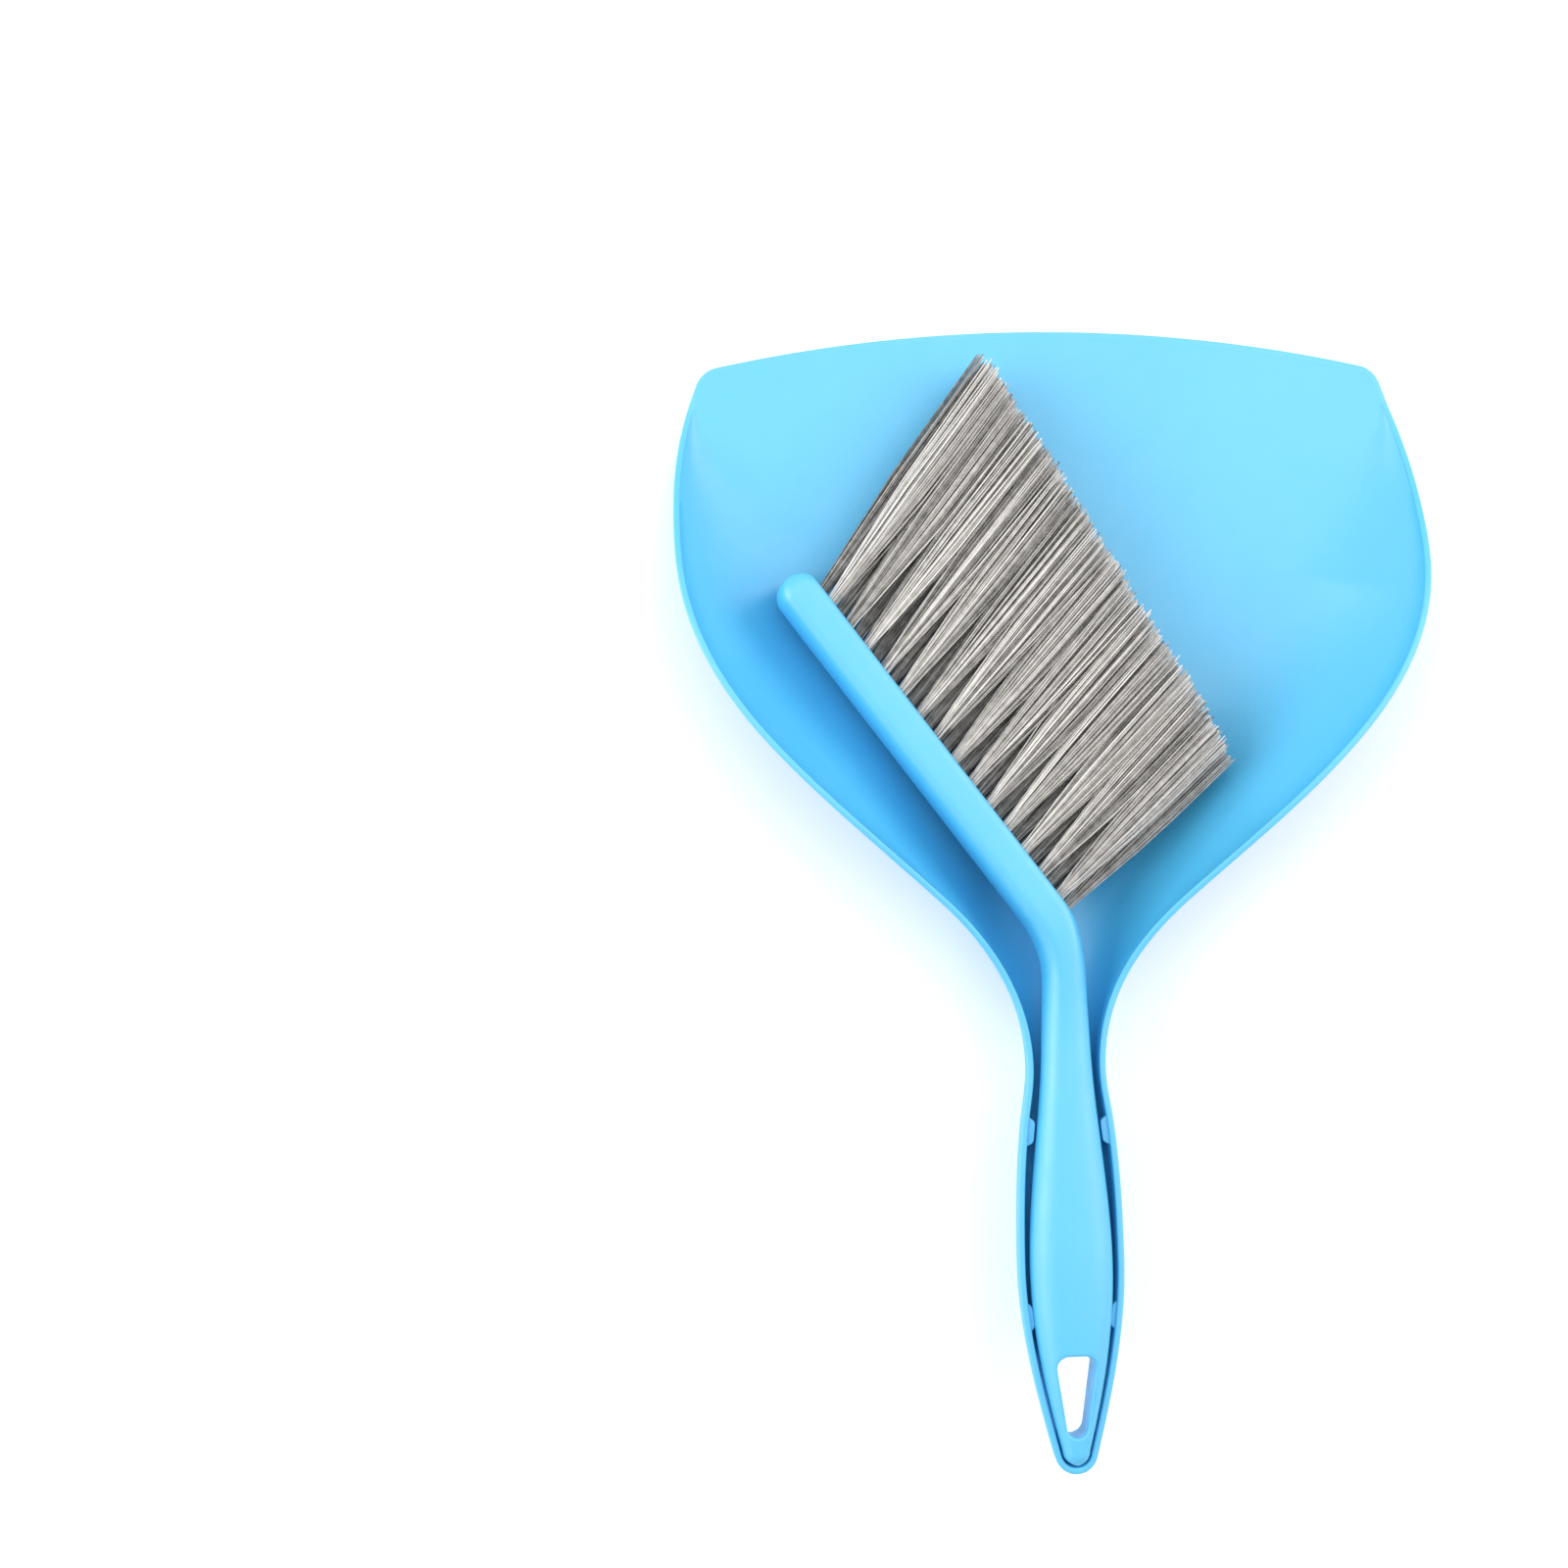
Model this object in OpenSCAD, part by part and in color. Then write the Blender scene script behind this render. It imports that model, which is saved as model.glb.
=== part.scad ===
// Dust pan with a hand brush that nests inside it.
// Frame: +Z up, +Y towards the pan's lip, +X to the right, millimetres.
// The origin is at the middle of the pan's footprint, on the floor.
// "Station" means the distance along the pan from the tip of its handle.

/* [Pan outline] */
// Length from the handle tip to the middle of the lip
pan_len = 316; // [310:1:322]
// Greatest width of the tray, over the rims
pan_w = 210.6; // [206:0.2:214]
// Station of the greatest width
pan_w_at = 265; // [260:1:268]
// Half width of the shoulder where it flares fastest
shoulder_half = 34.4; // [33:0.2:36]
// Station of that point on the shoulder
shoulder_at = 156; // [154:1:158]
// Width between the two lip corners
lip_w = 192; // [188:1:196]
// How far the middle of the lip stands ahead of its corners
lip_bow = 10.7; // [6:0.1:12]
// Radius of the lip corners in plan
lip_corner_r = 6; // [4:0.5:7]

/* [Pan handle] */
// Width of the handle at its grip
grip_w = 29.2; // [28.6:0.2:31]
// Width of the handle at its neck
neck_w = 21.8; // [21.4:0.2:24]
// Radius of the handle's round tip
tip_r = 6; // [5.8:0.1:6.4]
// Depth of the handle, from its rim to its underside
channel_depth = 10.6; // [10.6:0.2:14]

/* [Pan walls] */
// Thickness of walls and floor
wall = 1.8; // [1.6:0.1:2]
// Thickness at the edge of the lip
lip_edge = 0.7; // [0.6:0.1:1]
// Height of the rim at the handle tip
tip_rim_h = 31.5; // [31:0.5:34]
// Height of the rim beside the back of the tray
back_rim_h = 36; // [34:0.5:38]
// Lean of the side walls from upright, in degrees
draft = 3.5; // [2:0.5:5]
// How far the curve of the side walls reaches in over the tray's floor
bowl_reach = 42; // [36:1:44]
// How openly it curves: 0 is a rounded corner and 0.5 a plain slope
bowl_open = 0.4; // [0.25:0.05:0.45]

/* [Brush] */
// How far handle channel and brush slope down towards the lip, in degrees
tilt = 3.2; // [3:0.1:3.3]
// Greatest width of the brush grip
brush_grip_w = 22.8; // [21.6:0.2:23.2]
// Thickness of the brush grip
brush_grip_t = 14.6; // [13:0.2:14.8]
// Width of the brush head in plan
head_w = 11.5; // [11:0.1:12]
// Thickness of the brush head
head_t = 18.6; // [17.8:0.2:19.4]
// Station where the lines of handle and head cross
bend_at = 145.3; // [143:0.5:147]
// Angle between handle and head, in degrees
bend_angle = 36.7; // [35:0.1:38]
// Radius of the bend on the middle line
bend_r = 34; // [30:1:38]
// Length of the head from that crossing to its round end
head_len = 125; // [124:0.5:127]

/* [Bristles] */
// Tufts in the middle row; the outer rows have one fewer
mid_tufts = 15; // [13:1:15]
// Distance between neighbouring tufts in a row
tuft_pitch = 7.82; // [7.7:0.02:7.84]
// Radius of the bores that hold the tufts
bore_r = 1.9; // [1.8:0.05:2.1]
// Depth of those bores
bore_depth = 6.5; // [5:0.5:7]
// Radius of a tuft at its trimmed end
tuft_tip_r = 3.6; // [3:0.1:3.6]
// Distance of the trimmed ends from the head's middle line, at the handle end
trim_near = 68.4; // [60:0.2:70]
// The same at the far end
trim_far = 82; // [72:0.2:83]

/* [Hidden] */
ROWS = [["top", mid_tufts - 1, 1], ["mid", mid_tufts, 0], ["low", mid_tufts - 1, -1]];
function tuft_name(row, k) = str("tuft_", row[0], "_", k < 9 ? "0" : "", k + 1);

BLUE = [0.38, 0.80, 0.98];
HAIR = [0.78, 0.76, 0.73];
STEEL = [0.66, 0.67, 0.69];
TINY = 0.15;

// ---- curves -------------------------------------------------------------

// A smooth curve through knots [position, value, slope]
function hermite(a, b, t, span) =
    (2 * pow(t, 3) - 3 * t * t + 1) * a[1] + (3 * t * t - 2 * pow(t, 3)) * b[1]
    + ((pow(t, 3) - 2 * t * t + t) * a[2] + (pow(t, 3) - t * t) * b[2]) * span;
function knot_before(knots, s) =
    max([for (i = [0:len(knots) - 2]) knots[i][0] <= s ? i : 0]);
function curve(knots, s) =
    let (s1 = min(max(s, knots[0][0]), knots[len(knots) - 1][0]),
         i = knot_before(knots, s1),
         span = knots[i + 1][0] - knots[i][0])
    hermite(knots[i], knots[i + 1], (s1 - knots[i][0]) / span, span);
function steps(from, to, n) = [for (i = [0:n - 1]) from + (to - from) * i / n];

// ---- pan profiles -------------------------------------------------------

slope = tan(tilt);
neck_at = 111;                     // station where the handle is narrowest
floor_at = 168;                    // station where the underside reaches the floor
tip_turn = 75;                     // angle at which the tip's arc meets the taper
tip_end = tip_r * (1 - cos(tip_turn));
lip_half = lip_w / 2;
lip_r = (lip_half * lip_half + lip_bow * lip_bow) / (2 * lip_bow);
lip_slope = -0.49;                 // how the half width changes at the lip
lip_turn = atan(-lip_slope);
side_end = pan_len - lip_corner_r * (1 - sin(lip_turn)); // the side turns into the corner

// Half width of the pan over its rims
widest_at = 57;                    // station of the grip's greatest width
waist_at = 95;                     // station where the grip draws in to the neck
waist_in = 1.9;                    // by how much it has drawn in there
flank_at = 215;                    // station between the shoulder and the greatest width
flank_half = 92.9;                 // half width there
side_knots = [
    [tip_end, tip_r * sin(tip_turn), 1 / tan(tip_turn)],
    [widest_at, grip_w / 2, 0],
    [waist_at, grip_w / 2 - waist_in, -0.12],
    [neck_at - 1, neck_w / 2, 0],
    [shoulder_at, shoulder_half, 1.1],
    [flank_at, flank_half, 0.62],
    [pan_w_at, pan_w / 2, 0],
    [pan_len, lip_half, lip_slope]];

// Height of the rim
rim_dip_at = 130;                  // station where the rim dips behind the tray
rim_dip_h = 24.2;                  // its height there
rim_top_at = 190;                  // station where the rim stands highest
rim_mid_at = 250;                  // station part way down towards the lip
rim_mid_fall = 11.3;               // how far it has fallen there
rim_low_at = pan_len - 10;         // station where it has run out into the floor
rim_knots = [
    [0, tip_rim_h, -slope],
    [waist_at, tip_rim_h - waist_at * slope, -slope],
    [rim_dip_at, rim_dip_h, 0],
    [rim_top_at, back_rim_h, 0],
    [rim_mid_at, back_rim_h - rim_mid_fall, -0.36],
    [rim_low_at, wall, -0.44],
    [pan_len, wall - 0.4, 0]];

// Height of the underside
under_knots = [
    [0, tip_rim_h - channel_depth, -slope],
    [neck_at, tip_rim_h - channel_depth - neck_at * slope, -slope],
    [floor_at, 0, 0],
    [pan_len, 0, 0]];

// How far the curve between wall and floor reaches in, and how openly it curves
corner = 4;                        // reach in the narrow handle
bowl_spread = 1.6;                 // its greatest reach, as a share of the wall's height
reach_knots = [[0, corner, 0], [neck_at, corner + 0.5, 0], [rim_top_at, bowl_reach, 0],
               [pan_len, bowl_reach, 0]];
open_knots = [[neck_at, 0, 0], [rim_top_at, bowl_open, 0], [pan_len, bowl_open, 0]];

// How much of the lip's bow a cross-section follows
bow_starts = 210;
bow_knots = [[bow_starts, 0, 0], [pan_len, 1, 0]];
function bow(s) = curve(bow_knots, s);

// The outline's points [station, half width, outward normal's two parts]
function taper(s) = (curve(side_knots, s + 0.05) - curve(side_knots, s - 0.05)) / 0.1;
function side_point(s) =
    let (m = taper(s), n = sqrt(1 + m * m)) [s, curve(side_knots, s), -m / n, 1 / n];
function arc_point(cx, cy, r, a) = [cx - r * cos(a), cy + r * sin(a), -cos(a), sin(a)];

stretches = [tip_end, 60, 104, 180, 290, side_end]; // the tighter bends get closer points
points_on = [9, 7, 17, 13, 5];
outline = concat(
    [for (a = [5, 20, 38, 57]) arc_point(tip_r, 0, tip_r, a)],
    [for (k = [0:len(points_on) - 1])
        for (s = steps(stretches[k], stretches[k + 1], points_on[k])) side_point(s)],
    [for (i = [0:5])
        arc_point(pan_len - lip_corner_r, curve(side_knots, side_end)
                  - lip_corner_r * cos(lip_turn), lip_corner_r,
                  90 + lip_turn + (85 - lip_turn) * i / 5)]);
last = len(outline) - 1;

// Floor thickness: it thins towards the lip
lip_taper = 30;
lip_floor = 1.2;                   // thickness just behind the lip's thin edge
floor_knots = [[0, wall, 0], [pan_len - lip_taper, wall, 0], [pan_len, lip_floor, 0]];
function rim_h(s) = max(curve(rim_knots, s), curve(floor_knots, s) + TINY);
// Height of the underside where lift is 0, and of the floor where lift is 1
function low_h(s, lift) = curve(under_knots, s) + lift * curve(floor_knots, s);

// One half of a cross-section at outline point p, from the middle of the floor out and
// up to the rim: points [x, station, height]. The wall and its curve step inwards along
// the outline's normal, and the floor runs straight to the middle.
FLOOR_STEPS = 4;
TURN_STEPS = 7;
MOST_IN = 0.8;                     // the curve's limits, as shares of the room it has
MOST_UP = 0.95;
function stepped_in(p, d, z) = [p[1] - p[3] * d, p[0] - p[2] * d, z];
function half_section(p, top, lift) =
    let (rough = top - low_h(p[0], lift),
         reach = min(curve(reach_knots, p[0]) - lift * wall / 2, bowl_spread * rough,
                     MOST_IN * (p[1] / p[3] - rough * tan(draft))),
         low = low_h(p[0] - p[2] * reach, lift),
         rise = min(reach, MOST_UP * (top - low)),
         open = 2 * reach * curve(open_knots, p[0]),
         edge = stepped_in(p, reach + (top - low) * tan(draft), low))
    concat(
        [for (i = [0:FLOOR_STEPS - 1]) [edge[0] * i / FLOOR_STEPS, edge[1], low]],
        [for (i = [0:TURN_STEPS])
            let (t = 1 - i / TURN_STEPS, z = low + (1 - t) * (1 - t) * rise)
            stepped_in(p, t * (1 - t) * open + t * t * reach + (top - z) * tan(draft), z)],
        [stepped_in(p, 0, top)]);

// A whole cross-section in space, bowed forward with the lip
function bow_drop(x) = lip_r - sqrt(lip_r * lip_r - x * x);
function placed(half) =
    let (whole = concat([for (i = [len(half) - 1:-1:1]) [-half[i][0], half[i][1], half[i][2]]],
                        half))
    [for (p = whole) [p[0], p[1] - bow(p[1]) * bow_drop(p[0]) - pan_len / 2, p[2]]];

function outer_row(p) = placed(half_section(p, rim_h(p[0]), 0));
function inner_row(p) =
    placed(half_section([p[0] - wall * p[2], p[1] - wall * p[3], p[2], p[3]],
                        rim_h(p[0]), 1));
function lip_row(p) = placed(half_section(p, lip_edge + TINY, lip_edge / lip_floor));

module shell() {
    outer = [for (p = outline) outer_row(p)];
    inner = concat([for (p = outline) inner_row(p)], [lip_row(outline[last])]);
    m = len(outer[0]);
    base = len(outer) * m;
    function o(i, j) = i * m + j;
    function n(i, j) = base + i * m + j;
    polyhedron(
        points = [for (row = concat(outer, inner)) for (p = row) p],
        faces = concat(
            [for (i = [0:last - 1]) for (j = [0:m - 2])
                for (f = [[o(i, j), o(i, j + 1), o(i + 1, j)],
                          [o(i, j + 1), o(i + 1, j + 1), o(i + 1, j)]]) f],
            [for (i = [0:last]) for (j = [0:m - 2])
                for (f = [[n(i, j), n(i + 1, j), n(i, j + 1)],
                          [n(i, j + 1), n(i + 1, j), n(i + 1, j + 1)]]) f],
            // the rims
            [for (i = [0:last - 1])
                for (f = [[o(i, 0), o(i + 1, 0), n(i, 0)],
                          [o(i + 1, 0), n(i + 1, 0), n(i, 0)],
                          [o(i, m - 1), n(i, m - 1), o(i + 1, m - 1)],
                          [o(i + 1, m - 1), n(i, m - 1), n(i + 1, m - 1)]]) f],
            [[o(last, 0), n(last + 1, 0), n(last, 0)],
             [o(last, m - 1), n(last, m - 1), n(last + 1, m - 1)]],
            // the lip's front edge
            [for (j = [0:m - 2])
                for (f = [[o(last, j), o(last, j + 1), n(last + 1, j)],
                          [o(last, j + 1), n(last + 1, j + 1), n(last + 1, j)]]) f],
            // the end wall's two faces and its rim
            [[for (j = [m - 1:-1:0]) o(0, j)], [for (j = [0:m - 1]) n(0, j)],
             [o(0, 0), n(0, 0), n(0, m - 1), o(0, m - 1)]]));
}

// The hanging hole: wide towards the grip, narrow towards the tip
hole_from = 10.2;
hole_to = 32.4;
hole_wide = 5.4;
hole_narrow = 2.95;
hole_corner = 3.3;
pan_hole_grow = 0.7;               // how much larger the pan's hole is than the brush's
module hang_hole(grow) {
    linear_extrude(80, center = true)
        hull() {
            translate([0, hole_from + hole_narrow]) circle(hole_narrow + grow, $fn = 40);
            for (side = [-1, 1])
                translate([side * (hole_wide - hole_corner), hole_to - hole_corner])
                    circle(hole_corner + grow, $fn = 40);
        }
}

// Puts what is drawn at [x, station, height over the brush's middle plane] in place
brush_sunk = 1.5;                  // depth of that plane below the pan's rim
brush_plane_h = tip_rim_h - brush_sunk;
module on_brush_plane() {
    translate([0, -pan_len / 2, brush_plane_h]) rotate([-tilt, 0, 0]) children();
}

// Small ledges inside the handle's rim, which grip the brush: [station, width]
tabs = [[42.5, 1.1], [92.8, 1.8]];
tab_foot = 9.2;                    // length of a ledge at the wall
tab_nose = 5.8;                    // length of its inner edge
tab_t = 1.8;
tab_drop = 0.8;                    // depth of its top below the rim
tab_bite = 0.9;                    // how far it reaches into the wall
tab_round = 0.5;
module snap_tab(s, stand, side) {
    inner_half = curve(side_knots, s) - wall - tab_drop * tan(draft);
    translate([side * inner_half, s - pan_len / 2, rim_h(s) - tab_drop - tab_t])
        rotate([-tilt, 0, 0])
            rotate([0, 0, -side * atan(taper(s))])
                mirror([side < 0 ? 1 : 0, 0, 0])
                    linear_extrude(tab_t)
                        offset(r = tab_round, $fn = 24) offset(delta = -tab_round)
                            polygon([[tab_bite, -tab_foot / 2], [tab_bite, tab_foot / 2],
                                     [-stand, tab_nose / 2], [-stand, -tab_nose / 2]]);
}

module pan() {
    color(BLUE)
        difference() {
            union() {
                shell();
                for (tab = tabs) for (side = [-1, 1]) snap_tab(tab[0], tab[1], side);
            }
            on_brush_plane() hang_hole(pan_hole_grow);
        }
}

// ---- brush --------------------------------------------------------------

// The middle line: straight, an arc, straight. d is the station on the first part.
bend_run = bend_r * tan(bend_angle / 2);
bend_from = bend_at - bend_run;
bend_to = bend_from + bend_r * bend_angle * PI / 180;
function heading(d) = min(max((d - bend_from) / bend_r * 180 / PI, 0), bend_angle);
function along(d) =
    let (a = heading(d), arc = [-bend_r * (1 - cos(a)), bend_r * sin(a)])
    [0, min(d, bend_from)] + arc + max(d - bend_to, 0) * [-sin(a), cos(a)];
// A distance q from the crossing along the head, as a distance on the middle line
function at_head(q) = bend_to + q - bend_run;

brush_tip_at = 2.5;                // station of the brush's end in the pan's handle
brush_tip_r = 3.85;
head_half = head_w / 2;
head_end = at_head(head_len - head_half);
taper_from = brush_tip_at + brush_tip_r;
grip_at = 56;                      // station of the grip's greatest width
thin_at = 116;                     // station where the brush is thinnest
thin_w = 13.4;
thin_t = 12.4;

// Half width; half thickness; how square the section is; extra width on the bristle side
width_knots = [
    [taper_from, brush_tip_r, 0.27],
    [grip_at, brush_grip_w / 2, 0],
    [thin_at, thin_w / 2, -0.04],
    [bend_from + 8, head_half, 0],
    [head_end, head_half, 0]];
thick_knots = [
    [taper_from, 4.6, 0.1],
    [grip_at, brush_grip_t / 2, 0],
    [thin_at, thin_t / 2, 0],
    [at_head(14), head_t / 2, 0],
    [head_end, head_t / 2, 0]];
oval = 2.3;                        // 2 is an ellipse, and more is squarer
back_square = 3.4;
face_square = 5;
face_extra = 0.85;                 // how far the bristle side stands out before it is cut flat
square_knots = [[0, oval, 0], [bend_from - 10, oval, 0], [at_head(12), back_square, 0],
                [head_end, back_square, 0]];
face_square_knots = [[0, oval, 0], [bend_from, oval, 0], [at_head(12), face_square, 0],
                     [head_end, face_square, 0]];
extra_knots = [[0, 0, 0], [bend_from + 4, 0, 0], [at_head(9), face_extra, 0],
               [head_end, face_extra, 0]];

SIDES = 28;
function power(v, e) = sign(v) * pow(abs(v), e);
// One ring of the brush body: wide and tall scale it down at a rounded end
function ring(d, wide, tall) =
    let (c = along(d), h = heading(d))
    [for (i = [0:SIDES - 1])
        let (a = 360 * (i + 0.5) / SIDES,
             face = cos(a) > 0,
             n = curve(face ? face_square_knots : square_knots, d),
             half = (curve(width_knots, d) + (face ? curve(extra_knots, d) : 0)) * wide,
             x = half * power(cos(a), 2 / n),
             z = curve(thick_knots, d) * tall * power(sin(a), 2 / n))
        [c[0] + x * cos(h), c[1] + x * sin(h), z]];
// Stations of a rounded end of radius r around d, on the side given by way
function end_rings(d, r, way) = [for (a = [12, 28, 46, 66]) [d - way * r * cos(a), a]];

module brush_body() {
    tip = end_rings(taper_from, brush_tip_r, 1);
    head = end_rings(head_end, head_half, -1);
    spots = concat(steps(taper_from, bend_from - 2, 22), steps(bend_from - 2, at_head(16), 14),
                   [at_head(16), head_end]);
    rings = concat(
        [for (e = tip) ring(e[0], sin(e[1]), 0.5 + 0.5 * sin(e[1]))],
        [for (d = spots) ring(d, 1, 1)],
        [for (i = [len(head) - 1:-1:0])
            ring(head[i][0], sin(head[i][1]), 0.55 + 0.45 * sin(head[i][1]))]);
    top = len(rings) - 1;
    function v(i, j) = i * SIDES + j % SIDES;
    polyhedron(
        points = [for (r = rings) for (p = r) p],
        faces = concat(
            [[for (j = [0:SIDES - 1]) v(0, j)], [for (j = [SIDES - 1:-1:0]) v(top, j)]],
            [for (i = [0:top - 1]) for (j = [0:SIDES - 1])
                for (f = [[v(i, j), v(i + 1, j), v(i, j + 1)],
                          [v(i, j + 1), v(i + 1, j), v(i + 1, j + 1)]]) f]));
}

// Draws in the head's own axes: X away from its middle line through the bristles,
// Y along the head from the crossing, Z up
module on_head() {
    translate([0, bend_at, 0]) rotate([0, 0, bend_angle]) children();
}

// A tuft's root on the bristle face and its trimmed end, in the head's axes
first_root = 6.8;                  // where the first tuft of the middle row starts
first_tip = 15.2;                  // and where it ends, both along the head
tip_pitch = 8.7;                  // distance between the trimmed ends of neighbours
row_gap_root = 4.9;                // height of one row over the next, at the face
row_gap_tip = 6;                   // and at the trimmed ends
function offset_of(row, k) = k + (row[1] < mid_tufts ? 0.5 : 0);
function root_of(row, k) =
    [head_half, first_root + tuft_pitch * offset_of(row, k), row[2] * row_gap_root];
trim_slope = (trim_far - trim_near) / (tip_pitch * mid_tufts);
function tip_of(row, k) =
    let (y = first_tip + tip_pitch * offset_of(row, k))
    [trim_near + trim_slope * (y - first_tip), y, row[2] * row_gap_tip];

// Draws along Z from a tuft's root towards its tip
module at_tuft(row, k) {
    root = root_of(row, k);
    way = tip_of(row, k) - root;
    translate(root)
        rotate([0, acos(way[2] / norm(way)), atan2(way[1], way[0])]) children();
}

module bores() {
    for (row = ROWS) for (k = [0:row[1] - 1])
        at_tuft(row, k) translate([0, 0, -bore_depth]) cylinder(h = bore_depth + 2, r = bore_r);
}

module brush_handle() {
    color(BLUE)
        on_brush_plane()
            difference() {
                brush_body();
                hang_hole(0);
                on_head() {
                    // leaves a flat face for the bristles
                    translate([head_half, -4, -15]) cube([10, head_len + 10, 30]);
                    bores();
                }
            }
}

// The flat wire anchor that holds a tuft at the bottom of its bore
anchor_w = 4.4;
anchor_t = 0.4;
anchor_h = 1.6;
anchor_up = 1;
module anchor() {
    translate([-anchor_w / 2, -anchor_t / 2, anchor_up - bore_depth])
        cube([anchor_w, anchor_t, anchor_h]);
}
module staples() {
    color(STEEL)
        on_brush_plane() on_head()
            for (row = ROWS) for (k = [0:row[1] - 1]) at_tuft(row, k) anchor();
}

// A tuft of filaments: a straight root in its bore, then a cone that fans out,
// trimmed along one line with its neighbours
tuft_gap = 0.05;
over = 5;                          // extra length that the trim takes off
module tuft(row, k) {
    reach = norm(tip_of(row, k) - root_of(row, k));
    grow = (tuft_tip_r - bore_r) / reach;
    color(HAIR)
        on_brush_plane() on_head()
            difference() {
                at_tuft(row, k) {
                    translate([0, 0, tuft_gap - bore_depth])
                        cylinder(h = bore_depth - tuft_gap, r = bore_r - tuft_gap);
                    cylinder(h = reach + over, r1 = bore_r - tuft_gap,
                             r2 = bore_r - tuft_gap + grow * (reach + over));
                }
                at_tuft(row, k) anchor();
                translate([trim_near, first_tip, 0])
                    rotate([0, 0, -atan(trim_slope)])
                        translate([0, -40, -40]) cube([40, 240, 80]);
            }
}

// ---- what is drawn ------------------------------------------------------

pan();
brush_handle();
staples();
for (row = ROWS) for (k = [0:row[1] - 1])
    tuft(row, k);
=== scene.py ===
"""Dust pan with a hand brush nested in it: its looks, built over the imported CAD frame.

Lengths are millimetres until a mesh is made. +Z is up, +Y towards the pan's lip, and a
"station" is the distance along the pan from the tip of its handle, as in the CAD part.
"""
import math

import bmesh
import bpy
import numpy as np
from mathutils import Matrix, Vector


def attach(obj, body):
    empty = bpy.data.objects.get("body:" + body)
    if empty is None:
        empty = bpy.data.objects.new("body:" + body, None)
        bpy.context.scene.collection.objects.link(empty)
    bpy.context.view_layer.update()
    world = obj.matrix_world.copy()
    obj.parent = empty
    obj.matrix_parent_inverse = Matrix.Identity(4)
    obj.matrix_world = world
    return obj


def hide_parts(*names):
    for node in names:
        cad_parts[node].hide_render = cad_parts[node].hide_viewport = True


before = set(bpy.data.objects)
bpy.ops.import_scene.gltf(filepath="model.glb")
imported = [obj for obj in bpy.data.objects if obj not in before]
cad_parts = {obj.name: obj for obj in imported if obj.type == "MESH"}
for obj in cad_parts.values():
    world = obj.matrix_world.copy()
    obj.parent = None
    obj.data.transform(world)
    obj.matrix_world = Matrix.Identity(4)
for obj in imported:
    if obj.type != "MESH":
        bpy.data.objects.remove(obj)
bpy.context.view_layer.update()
scene = bpy.context.scene
MM = 0.001
WELD = 2e-6  # metres within which points are one


# ---- small helpers ------------------------------------------------------------------

def curve(knots, s):
    """A smooth curve through [position, value, slope] knots, held at both ends."""
    k = np.asarray(knots, float)
    s = np.clip(np.asarray(s, float), k[0, 0], k[-1, 0])
    i = np.clip(np.searchsorted(k[:, 0], s, side="right") - 1, 0, len(k) - 2)
    span = k[i + 1, 0] - k[i, 0]
    t = (s - k[i, 0]) / span
    return ((2 * t**3 - 3 * t**2 + 1) * k[i, 1] + (3 * t**2 - 2 * t**3) * k[i + 1, 1]
            + ((t**3 - 2 * t**2 + t) * k[i, 2] + (t**3 - t**2) * k[i + 1, 2]) * span)


def new_object(name, verts, faces, scale=MM):
    """A smooth-shaded object in the scene, from points in millimetres unless scaled."""
    mesh = bpy.data.meshes.new(name)
    mesh.from_pydata((np.asarray(verts, float) * scale).tolist(), [], faces)
    mesh.update()
    mesh.polygons.foreach_set("use_smooth", [True] * len(mesh.polygons))
    obj = bpy.data.objects.new(name, mesh)
    scene.collection.objects.link(obj)
    return obj


def grid_faces(rows, cols, start=0, closed=False, flip=False):
    """Quads over a rows x cols grid of points numbered row by row."""
    faces = []
    for i in range(rows - 1):
        for j in range(cols if closed else cols - 1):
            k = (j + 1) % cols
            quad = (start + i * cols + j, start + i * cols + k,
                    start + (i + 1) * cols + k, start + (i + 1) * cols + j)
            faces.append(quad[::-1] if flip else quad)
    return faces


def cap_faces(count, last):
    """The two flat ends of a stack of rings whose last ring starts at point last."""
    return [tuple(range(count))[::-1], tuple(range(last, last + count))]


def welded(obj):
    """Joins points that meet, drops faces of no area, and turns all faces outwards."""
    bm = bmesh.new()
    bm.from_mesh(obj.data)
    bmesh.ops.remove_doubles(bm, verts=bm.verts, dist=WELD)
    bmesh.ops.dissolve_degenerate(bm, edges=bm.edges, dist=WELD)
    bmesh.ops.recalc_face_normals(bm, faces=bm.faces)
    for face in bm.faces:
        face.smooth = True
    bm.to_mesh(obj.data)
    bm.free()
    return obj


def combine(obj, other, operation="DIFFERENCE"):
    """Cuts the other solid out of obj, or joins it on, and uses it up."""
    boolean = obj.modifiers.new("combine", "BOOLEAN")
    boolean.operation = operation
    boolean.solver = "MANIFOLD"
    boolean.object = other
    bpy.context.view_layer.update()
    depsgraph = bpy.context.evaluated_depsgraph_get()
    mesh = bpy.data.meshes.new_from_object(obj.evaluated_get(depsgraph))
    old = obj.data
    obj.modifiers.clear()
    obj.data = mesh
    bpy.data.meshes.remove(old)
    bpy.data.objects.remove(other)


def smooth_by_angle(obj, angle):
    """Smooth shading, but creased where faces meet at more than the angle in degrees."""
    mesh = obj.data
    bm = bmesh.new()
    bm.from_mesh(mesh)
    limit = math.radians(angle)
    for edge in bm.edges:
        edge.smooth = len(edge.link_faces) == 2 and edge.calc_face_angle(0) < limit
    for face in bm.faces:
        face.smooth = True
    bm.to_mesh(mesh)
    bm.free()


# ---- materials ----------------------------------------------------------------------

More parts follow.
